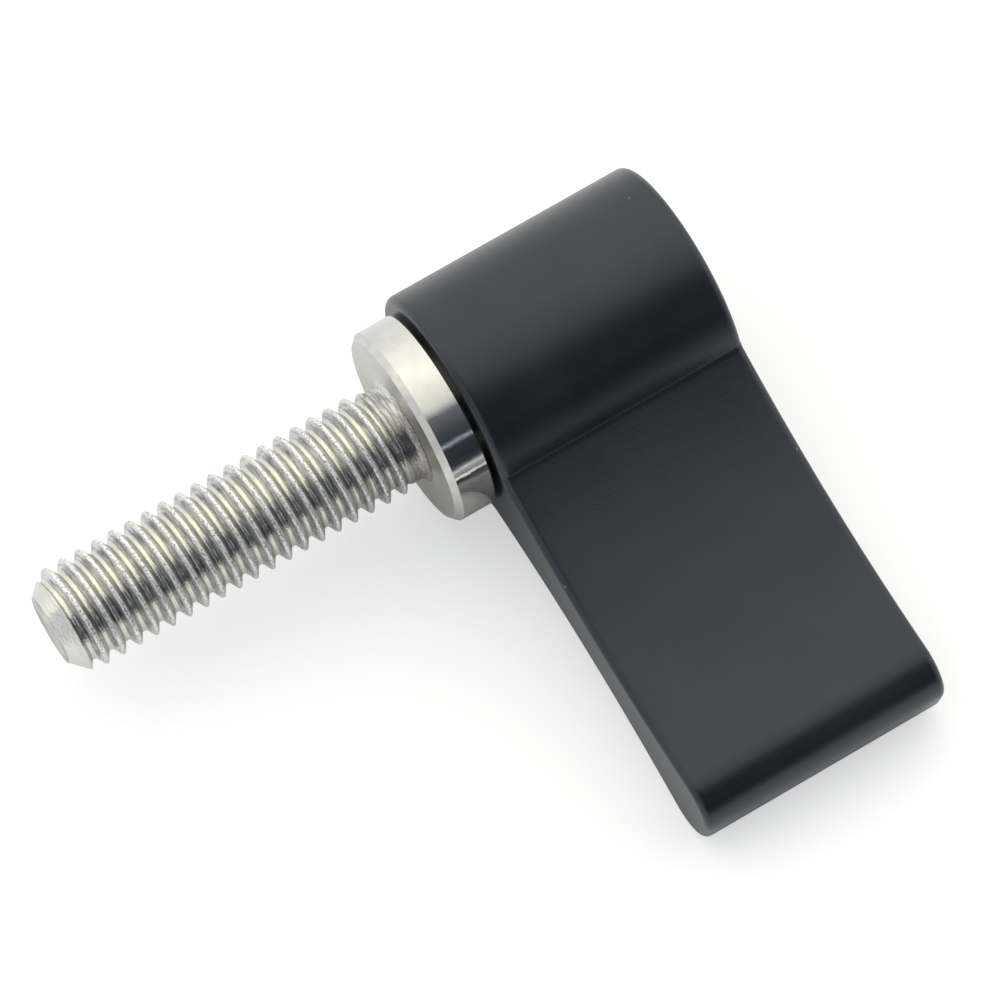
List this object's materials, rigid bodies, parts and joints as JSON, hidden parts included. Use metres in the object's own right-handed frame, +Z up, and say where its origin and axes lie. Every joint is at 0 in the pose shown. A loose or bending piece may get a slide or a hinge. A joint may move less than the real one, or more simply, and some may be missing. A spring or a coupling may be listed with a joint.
{
  "type": "thumb screw",
  "caption": "Clamping thumb screw: a threaded steel shank with a chamfered tip and a round collar, turned by a black barrel handle with a short waisted lever.",
  "frame": {"origin": "centre of the collar's front face, on the screw's axis", "axes": "-X along the screw towards its tip, the lever towards -Y, +Z up as the part lies at rest"},
  "size_m": [0.0385, 0.0327, 0.0128],
  "materials": {
    "black_coat": "satin",
    "plated_steel": "satin"
  },
  "bodies": {
    "root": {"handle": "black_coat", "screw": "plated_steel"}
  },
  "joints": []
}
